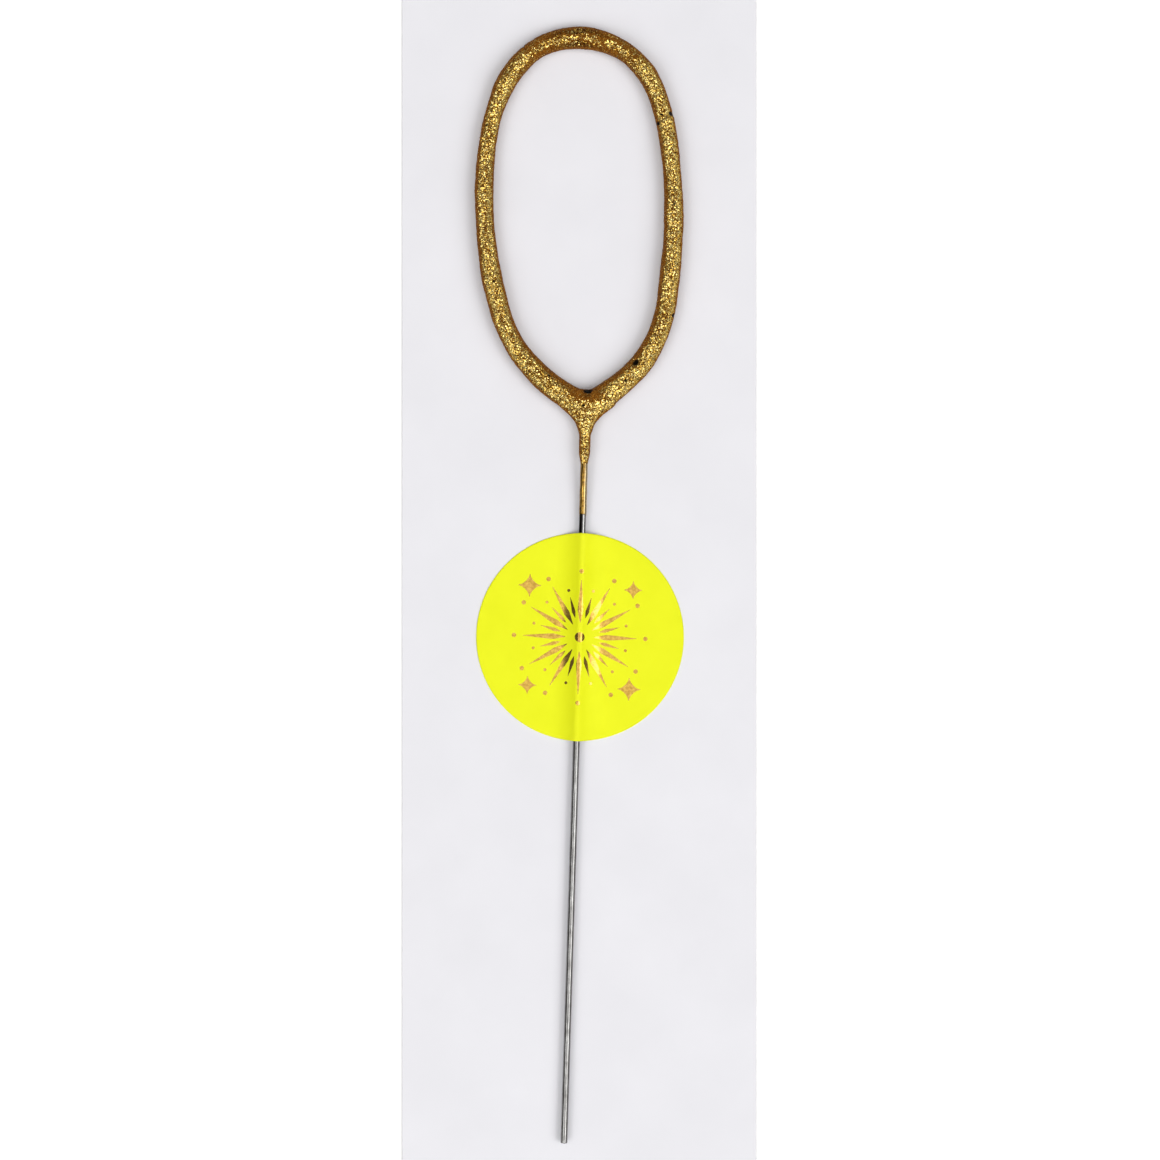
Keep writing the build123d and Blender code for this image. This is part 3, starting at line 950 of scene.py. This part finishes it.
def film_material():
    """Thin bronze lacquer on bare wire: a bright warm gold in short runs along the stem, with a painted
    highlight on its right side.
    """
    material, tree, shader = new_material(
        "bronze_lacquer_film", Metallic=1.0, Roughness=0.2, Coat_Weight=0.3, Coat_Roughness=0.03)
    along = add(tree, "ShaderNodeAttribute", {"attribute_name": "along"}).outputs["Fac"]
    round_it = add(tree, "ShaderNodeAttribute", {"attribute_name": "round"}).outputs["Fac"]
    painted_highlight = add(tree, "ShaderNodeAttribute", {"attribute_name": "painted_highlight"}).outputs["Fac"]
    run_place = add(tree, "ShaderNodeCombineXYZ", links={"X": along, "Y": round_it})
    stretched = add(tree, "ShaderNodeMapping", inputs={"Scale": (RUN_STRETCH, 1.0, 1.0)},
                    links={"Vector": run_place.outputs[0]})
    runs = add(tree, "ShaderNodeTexNoise", inputs={"Scale": 1 / RUN_MM, "Detail": 3.0},
               links={"Vector": stretched.outputs[0]}).outputs["Fac"]
    colour = ramp(tree, runs, [(0.3, "#523608"), (0.5, "#805E1A"), (0.7, "#B49444")])
    # Painted highlight: the right side is blended towards a pale colour.
    tree.links.new(blend_colour(tree, painted_highlight, colour, "#A08F6B"), shader.inputs["Base Color"])
    bump = add(tree, "ShaderNodeBump", inputs={"Strength": 0.35, "Distance": 0.03 * MM},
               links={"Height": runs})
    tree.links.new(bump.outputs["Normal"], shader.inputs["Normal"])
    return material


def stem_film():
    """A thin sleeve down the stem whose lower edge is feathered and a little uneven round the wire."""
    angle = turn_angles(FILM_SIDES)
    share = np.linspace(0, 1, FILM_RINGS)[:, None]
    start = NECK_LENGTH - NECK_TAPER
    end = DIP_LINE + EDGE_SWAY * np.sin(angle * 2 + EDGE_SWAY_TURN) + EDGE_NICKS * np.sin(angle * 5)
    below = start + (end - start) * share
    ripple = FILM_RIPPLE * np.sin(below * RIPPLE_PER_MM + 2 * np.sin(angle))
    radius = FILM_RADIUS + ripple - FILM_FEATHER * smooth_step(share, FEATHER_START, 1.0)
    flat = FORK + STEM_DOWN * below + STEM_RIGHT * radius * np.cos(angle)
    rings = in_space(flat, stem_height(below) + radius * np.sin(angle))
    piece = write_mesh("stem_gold_film", *closed_bar(rings))
    bar_value(piece, "along", below, below.shape)
    bar_value(piece, "round", round_half(angle, FILM_RADIUS), below.shape)
    # The painted highlight's share, highest on the stem's right side.
    bar_value(piece, "painted_highlight", smooth_step(np.cos(angle), *FILM_HIGHLIGHT_SIDE), below.shape)
    return piece


finish_piece(stem_film(), film_material(), "sparkler")

# %% [markdown]
# ## The sticker
# The sticker is a round of fluorescent paper, gummed on its back. It lies flat on the card and tents over
# the stem. Its height depends mostly on the distance from the stem: an arc round the wire, and on each side
# one long arc that comes down to the card and meets it level. A polar grid carries that height out to a
# true circle.

# %% Shape of the sticker
TENT_REACH = 4.5
TUNNEL_CLEARANCE = 0.1
STICKER_RIGHT_OF_STEM = 0.05
STICKER_TO_BOW = 1.25
WAVE_HEIGHT = 0.012
WAVE_ACROSS = 0.9
WAVE_ALONG = 0.55
WAVE_SHIFT = 0.4
WAVE_START = (8.0, 12.0)

STICKER_RADIUS = (sticker_high[1] - sticker_low[1]) / 2
STICKER_ON_STEM = BOW_END - DOWN * (STICKER_RADIUS + STICKER_TO_BOW)
STEM_ABOVE_CARD = STEM_Z - CARD_TOP


def tent(across, rise):
    """Height of the sheet over the card: round the wire, then one long arc that meets the card level."""
    x = np.abs(across)
    crest = WIRE_RADIUS + TUNNEL_CLEARANCE
    foot = (TENT_REACH ** 2 + STEM_ABOVE_CARD ** 2 - crest ** 2) / (2 * (crest + STEM_ABOVE_CARD))
    shoulder = TENT_REACH / (foot + crest)
    crest, foot_drawn = crest + rise, foot - rise
    on_crest = STEM_ABOVE_CARD + np.sqrt(np.maximum(crest ** 2 - x ** 2, 0))
    on_foot = foot - np.sqrt(np.maximum(foot_drawn ** 2 - (TENT_REACH - x) ** 2, 0))
    return np.select([x < shoulder * crest, x < TENT_REACH], [on_crest, on_foot], rise)


def on_sticker(across, along, rise):
    """Points of the sheet from places across and along the stem, with the paper's faint waviness."""
    flat = STICKER_ON_STEM + RIGHT * across - DOWN * along
    wave = WAVE_HEIGHT * np.sin(across * WAVE_ACROSS + WAVE_SHIFT) * np.sin(along * WAVE_ALONG)
    wave = wave * smooth_step(np.abs(across), *WAVE_START)
    return in_space(flat, CARD_TOP + tent(across, rise) + np.maximum(wave, 0))


def sheet_disc(name, low, high, rings=72, spokes=360):
    """A closed round sheet between two rises: polar grids above and below that share an outer wall."""
    reach = STICKER_RADIUS * np.linspace(0, 1, rings + 1)[1:, None]
    angle = turn_angles(spokes)
    across = STICKER_RIGHT_OF_STEM + reach * np.cos(angle)
    along = reach * np.sin(angle)
    middle = np.array([STICKER_RIGHT_OF_STEM])
    top = on_sticker(across, along, high).reshape(-1, 3)
    under = on_sticker(across, along, low).reshape(-1, 3)
    ends = [on_sticker(middle, middle * 0, rise) for rise in (high, low)]
    count = len(top)
    grid = cells(rings, spokes)
    rim = np.arange(spokes) + count - spokes
    wall = np.stack([rim, rim + count, np.roll(rim, -1) + count, np.roll(rim, -1)], -1)
    ring = np.arange(spokes)
    faces = [*grid[:, ::-1].tolist(), *(grid + count).tolist(), *wall.tolist()]
    faces += fan(ring, 2 * count, True).tolist() + fan(ring + count, 2 * count + 1, False).tolist()
    return write_mesh(name, np.vstack([top, under, *ends]), faces)


crest_height = round(float(tent(0.0, 0.0)), 2)
print("sticker", round(2 * STICKER_RADIUS, 2), "mm across, tented", crest_height, "mm high")

# %% [markdown]
# ## Fluorescent paper, gum and foil
# The paper is coated in a fluorescent yellow ink: a very saturated, satin surface with a trace of fibre. The
# gum is a clear film that yellows slightly. The foil is a thin bronze-gold metal leaf pressed on hot.

# %% Sticker materials
INK_CLOUD_MM = 5.0
PAPER_FIBRE_MM = 0.35
GUM_BUBBLE_MM = 1.2
PRESS_GRAIN_MM = 0.4


def paper_material():
    """Satin paper with a flood of fluorescent yellow ink: even colour, faint fibres, soft gloss."""
    material, tree, shader = new_material("fluorescent_label_paper", Specular_IOR_Level=0.25)
    place = add(tree, "ShaderNodeTexCoord").outputs["Object"]
    cloud = add(tree, "ShaderNodeTexNoise", inputs={"Scale": per_mm(INK_CLOUD_MM), "Detail": 5.0},
                links={"Vector": place})
    fibre = add(tree, "ShaderNodeTexNoise", inputs={"Scale": per_mm(PAPER_FIBRE_MM), "Detail": 3.0},
                links={"Vector": place}).outputs["Fac"]
    colour = ramp(tree, cloud.outputs["Fac"], [(0.3, "#ECF10C"), (0.7, "#F0F514")])
    tree.links.new(colour, shader.inputs["Base Color"])
    bump = add(tree, "ShaderNodeBump", inputs={"Strength": 0.12, "Distance": 0.02 * MM},
               links={"Height": fibre})
    tree.links.new(bump.outputs["Normal"], shader.inputs["Normal"])
    rough = add(tree, "ShaderNodeMapRange", inputs={"To Min": 0.6, "To Max": 0.72}, links={"Value": fibre})
    tree.links.new(rough.outputs["Result"], shader.inputs["Roughness"])
    return material


def gum_material():
    """Pressure-sensitive gum: a pale straw film with a wet gloss and tiny bubbles."""
    material, tree, shader = new_material("clear_label_gum", Roughness=0.2, IOR=1.47)
    place = add(tree, "ShaderNodeTexCoord").outputs["Object"]
    bubbles = add(tree, "ShaderNodeTexVoronoi", inputs={"Scale": per_mm(GUM_BUBBLE_MM)},
                  links={"Vector": place}).outputs["Distance"]
    colour = ramp(tree, bubbles, [(0.0, "#F2EFD8"), (0.6, "#E4E0BE")])
    tree.links.new(colour, shader.inputs["Base Color"])
    bump = add(tree, "ShaderNodeBump", inputs={"Strength": 0.2, "Distance": 0.02 * MM},
               links={"Height": bubbles})
    tree.links.new(bump.outputs["Normal"], shader.inputs["Normal"])
    return material


def foil_material():
    """Hot-stamped bronze-gold leaf: a bright metal with a slightly grained press mark."""
    material, tree, shader = new_material("hot_stamped_foil", Metallic=1.0, Roughness=0.24)
    place = add(tree, "ShaderNodeTexCoord").outputs["Object"]
    grain = add(tree, "ShaderNodeTexNoise", inputs={"Scale": per_mm(PRESS_GRAIN_MM), "Detail": 4.0},
                links={"Vector": place}).outputs["Fac"]
    colour = ramp(tree, grain, [(0.3, "#A07C33"), (0.7, "#C9A452")])
    tree.links.new(colour, shader.inputs["Base Color"])
    bump = add(tree, "ShaderNodeBump", inputs={"Strength": 0.15, "Distance": 0.01 * MM},
               links={"Height": grain})
    tree.links.new(bump.outputs["Normal"], shader.inputs["Normal"])
    return material


PAPER_LOOK, GUM_LOOK, FOIL_LOOK = paper_material(), gum_material(), foil_material()
print("sticker materials", PAPER_LOOK.name, GUM_LOOK.name, FOIL_LOOK.name)

# %% [markdown]
# ## The print
# The print on the paper is a plain spark burst: tapered rays of two lengths, dots beyond them and small
# four-pointed stars. Each is a small grid laid on the sheet, so it follows the tent and bends with it.

# %% The print
GUM = 0.03
PAPER = 0.1
PRINT_RISE = 0.012
LONG_RAYS = 12
LONG_RAY = {"inner": 2.3, "outer": 9.2, "half_width": 0.46}
SHORT_RAY = {"inner": 3.2, "outer": 6.6, "half_width": 0.3}
RAY_WIDEST = 0.3
RAY_BLUNT = 0.04
RAY_CURVE = 0.8
OUTER_DOTS_AT, OUTER_DOT = 10.6, 0.36
INNER_DOTS_AT, INNER_DOT = 7.7, 0.24
MIDDLE_DOT = 0.8
DOT_SPOKES = 28
STARS = [
    # across, along, reach of the points
    (-8.3, 8.1, 1.9), (8.4, 7.8, 1.5), (-8.2, -8.0, 1.5), (8.2, -8.2, 1.9),
]
STAR_SPOKES = 48
FIRST_RING = 0.02


def rays(angles, inner, outer, half_width, steps=18, columns=5):
    """Rays from an inner to an outer reach, widest a third of the way out and pointed at both ends."""
    t = np.linspace(0, 1, steps)[None, :, None]
    pointed = np.minimum(t / RAY_WIDEST, (1 - t) / (1 - RAY_WIDEST)).clip(RAY_BLUNT)
    side = half_width * pointed ** RAY_CURVE * np.linspace(-1, 1, columns)
    place = (inner + (outer - inner) * t + 1j * side) * np.exp(1j * angles)[:, None, None]
    faces = cells(steps, columns, closed=False)[:, ::-1].tolist()
    return [(shape, faces) for shape in place.reshape(len(angles), -1)]


def rounds(centres, outline, rings=5):
    """Small discs or stars: rings out from each centre to an outline given as a reach at even angles."""
    spokes = len(outline)
    grid = np.linspace(FIRST_RING, 1, rings)[:, None] * outline * np.exp(1j * turn_angles(spokes))
    faces = cells(rings, spokes)[:, ::-1].tolist() + fan(np.arange(spokes), rings * spokes, True).tolist()
    return [(centre + np.append(grid, 0), faces) for centre in centres]


def astroid(angle):
    """The reach of a four-pointed star: the two-thirds power curve."""
    return (np.abs(np.cos(angle)) ** (2 / 3) + np.abs(np.sin(angle)) ** (2 / 3)) ** -1.5


def spark_print():
    """The points and faces of all the printed marks, laid on the sticker's upper side."""
    turn = 2 * np.pi * np.arange(LONG_RAYS) / LONG_RAYS + np.pi / 2
    between = turn + np.pi / LONG_RAYS
    disc, star = np.ones(DOT_SPOKES), astroid(turn_angles(STAR_SPOKES))
    marks = rays(turn, **LONG_RAY) + rays(between, **SHORT_RAY)
    marks += rounds(OUTER_DOTS_AT * np.exp(1j * turn), OUTER_DOT * disc)
    marks += rounds(INNER_DOTS_AT * np.exp(1j * between), INNER_DOT * disc)
    marks += rounds([0], MIDDLE_DOT * disc)
    for across, along, reach in STARS:
        marks += rounds([complex(across, along)], reach * star, rings=7)
    place, faces = joined(marks)
    return on_sticker(place.real, place.imag, GUM + PAPER + PRINT_RISE), faces


burst_points, burst_faces = spark_print()
print("print of", len(burst_points), "points and", len(burst_faces), "faces")

# %% [markdown]
# ## Laying the sticker
# When it is peeled, the sticker stays on the card at its left edge and bends up along a strip beside that
# edge. Here its three pieces are only laid where they rest, each with its material.

# %% Laying the sticker
GUM_CLEARANCE = 0.002


def lay_sticker(piece, material, replaced=None):
    """Lays a piece where it rests, its place baked into its points, and gives it its material."""
    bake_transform(piece)
    dress(piece, material, replaced)


lay_sticker(sheet_disc("label_paper", GUM, GUM + PAPER), PAPER_LOOK, "sticker_face")
lay_sticker(sheet_disc("label_gum", 0.0, GUM - GUM_CLEARANCE), GUM_LOOK, "sticker_adhesive")
lay_sticker(write_mesh("foil_spark_print", burst_points, burst_faces), FOIL_LOOK)

# %% [markdown]
# ## The card
# The card is guillotined white paperboard: square-cut sides with the edge crushed over a few hundredths of
# a millimetre, a faint tooth on its face, and a greyer core that shows as plies on the cut sides.

# %% Paperboard card
EDGE_CRUSH = 0.07
CRUSH_POINTS = 4
CORNER_RADIUS = 0.5
CORNER_POINTS = 7
BOARD_CLOUD_MM = 14.0
BOARD_TOOTH_MM = 0.3
PLY_MM = 0.6


def board_material():
    """Coated white paperboard: nearly even white, faint tooth, greyer plies on the cut sides."""
    material, tree, shader = new_material("white_paperboard", Roughness=0.75, IOR=1.45)
    place = add(tree, "ShaderNodeTexCoord").outputs["Object"]
    cloud = add(tree, "ShaderNodeTexNoise", inputs={"Scale": per_mm(BOARD_CLOUD_MM), "Detail": 4.0},
                links={"Vector": place})
    tooth = add(tree, "ShaderNodeTexNoise", inputs={"Scale": per_mm(BOARD_TOOTH_MM), "Detail": 4.0},
                links={"Vector": place})
    plies = add(tree, "ShaderNodeTexWave", {"bands_direction": "Z"},
                {"Scale": per_mm(PLY_MM), "Distortion": 3.0}, {"Vector": place})
    face = ramp(tree, cloud.outputs["Fac"], [(0.3, "#E7E6EA"), (0.7, "#EBEAEE")])
    core = ramp(tree, plies.outputs["Fac"], [(0.2, "#C9C5C0"), (0.8, "#DEDBD8")])
    facing = add(tree, "ShaderNodeNewGeometry").outputs["Normal"]
    normal = add(tree, "ShaderNodeSeparateXYZ", links={0: facing})
    level = add(tree, "ShaderNodeMath", {"operation": "ABSOLUTE"}, links={0: normal.outputs["Z"]})
    flat = add(tree, "ShaderNodeMapRange", inputs={"From Min": 0.3, "From Max": 0.8},
               links={"Value": level.outputs[0]})
    tree.links.new(blend_colour(tree, flat.outputs["Result"], core, face), shader.inputs["Base Color"])
    bump = add(tree, "ShaderNodeBump", inputs={"Strength": 0.1, "Distance": 0.02 * MM},
               links={"Height": tooth.outputs["Fac"]})
    tree.links.new(bump.outputs["Normal"], shader.inputs["Normal"])
    return material


def card_piece():
    """Rings of a rounded rectangle, from the back face up the sides to the front, with two flat faces."""
    half_x, half_y = (card_high[:2] - card_low[:2]) / 2 - CORNER_RADIUS
    quarter_turns = np.arange(4)[:, None] * np.pi / 2
    angle = (quarter_turns + np.linspace(0, np.pi / 2, CORNER_POINTS)).reshape(-1)
    diagonal = np.repeat(quarter_turns + np.pi / 4, CORNER_POINTS)
    middle = np.sign(np.cos(diagonal)) * half_x + 1j * np.sign(np.sin(diagonal)) * half_y
    turn = np.linspace(0, np.pi / 2, CRUSH_POINTS)
    inset = EDGE_CRUSH * np.concatenate([1 - np.sin(turn), 1 - np.cos(turn)])
    height = np.concatenate([EDGE_CRUSH * (1 - np.cos(turn)), CARD_TOP - EDGE_CRUSH * (1 - np.sin(turn))])
    flat = middle + (CORNER_RADIUS - inset[:, None]) * np.exp(1j * angle)
    points = in_space(flat, height[:, None]).reshape(-1, 3)
    count = len(angle)
    faces = cells(len(height), count).tolist()
    faces += [list(range(count))[::-1], list(range(len(points) - count, len(points)))]
    piece = write_mesh("paperboard_card", points, faces)
    smooth = np.ones(len(faces), bool)
    smooth[-2:] = False
    piece.data.polygons.foreach_set("use_smooth", smooth)
    return piece


finish_piece(card_piece(), board_material(), "card", "backing_card")

# %% [markdown]
# ## Floor
# The card lies on plain white backdrop paper. A camera exposed for the card sees the paper as clear white,
# so the floor glows a little, but only for what is seen directly or in a reflection. Its light on the card
# and its shadows stay those of ordinary paper.

# %% Floor
FLOOR_HALF = 1500.0
FLOOR_BELOW = 0.02
FLOOR_LIFT = 0.2


def floor_material():
    """White backdrop paper: the camera and shiny things see it lifted to white, and shadows stay."""
    material, tree, shader = new_material(
        "white_backdrop_paper", Roughness=0.9,
        Base_Color=linear("#F4F4F4"), Emission_Color=linear("#FFFFFF"))
    path = add(tree, "ShaderNodeLightPath").outputs
    seen = add(tree, "ShaderNodeMath", links={0: path["Is Camera Ray"], 1: path["Is Glossy Ray"]})
    seen = add(tree, "ShaderNodeMath", links={0: seen.outputs[0], 1: path["Is Transmission Ray"]})
    lift = add(tree, "ShaderNodeMapRange", inputs={"To Max": FLOOR_LIFT}, links={"Value": seen.outputs[0]})
    tree.links.new(lift.outputs["Result"], shader.inputs["Emission Strength"])
    return material


floor_corners = FLOOR_HALF * np.array([-1 - 1j, 1 - 1j, 1 + 1j, -1 + 1j])
floor = write_mesh("floor", in_space(floor_corners, -FLOOR_BELOW), [[0, 1, 2, 3]])
floor.data.materials.append(floor_material())
print("floor", 2 * FLOOR_HALF * MM, "m square")

# %% [markdown]
# ## Light
# A broad soft light hangs over the card, with a smaller one to its right and a weaker one near its left
# corner, and a dim even sky fills the rest, so that metal has bright and dark things to reflect.

# %% Light
LIGHT_AWAY = 3.0
SKY_STRENGTH = 0.2
SOFT_BOXES = [
    # name, compass angle from +X, tilt from straight up, width and depth in metres, power in watts
    ("ceiling_soft_box", -90, 8, 5.0, 2.6, 57.0),
    ("right_soft_box", -20, 42, 1.8, 1.8, 36.0),
    ("near_left_soft_box", -142, 42, 1.8, 1.8, 21.0),
]


def soft_box(name, compass, tilt, wide, deep_pool_and_shade, power):
    """A rectangular soft light at a distance, turned to face the card."""
    lamp = bpy.data.lights.new(name, "AREA")
    lamp.shape = "RECTANGLE"
    lamp.size = wide
    lamp.size_y = deep_pool_and_shade
    lamp.energy = power
    box = bpy.data.objects.new(name, lamp)
    bpy.context.scene.collection.objects.link(box)
    turn, lean = np.radians([compass, tilt])
    way = np.array([np.cos(turn) * np.sin(lean), np.sin(turn) * np.sin(lean), np.cos(lean)])
    box.location = LIGHT_AWAY * way
    box.rotation_euler = (lean, 0, turn + np.pi / 2)


for values in SOFT_BOXES:
    soft_box(*values)
world = bpy.data.worlds.new("even_sky")
bpy.context.scene.world = world
world.use_nodes = True
sky = world.node_tree.nodes["Background"]
sky.inputs["Color"].default_value = (1, 1, 1, 1)
sky.inputs["Strength"].default_value = SKY_STRENGTH
bpy.context.scene.view_settings.view_transform = "Standard"
print(len(SOFT_BOXES), "soft boxes and a sky of", SKY_STRENGTH)

# %% [markdown]
# ## Camera
# The photograph was taken from straight above and far off, so the camera looks down and stands where the
# photograph's width on the card just fills its sensor.

# %% Camera
PHOTO_SIDE = 1160
LENS = 100.0
SENSOR = 36.0
CLIP_END = 20

camera = bpy.data.cameras.new("camera")
camera.lens = LENS
camera.sensor_width = SENSOR
camera.clip_end = CLIP_END
view = bpy.data.objects.new("camera", camera)
bpy.context.scene.collection.objects.link(view)
frame_side = PHOTO_SIDE / PX_PER_MM * MM
aim = from_photo(PHOTO_SIDE / 2, PHOTO_SIDE / 2)
view.location = (aim.real * MM, aim.imag * MM, AXIS_Z * MM + frame_side * LENS / SENSOR)
bpy.context.scene.camera = view
print("camera at", tuple(view.location), "sees", frame_side, "m")
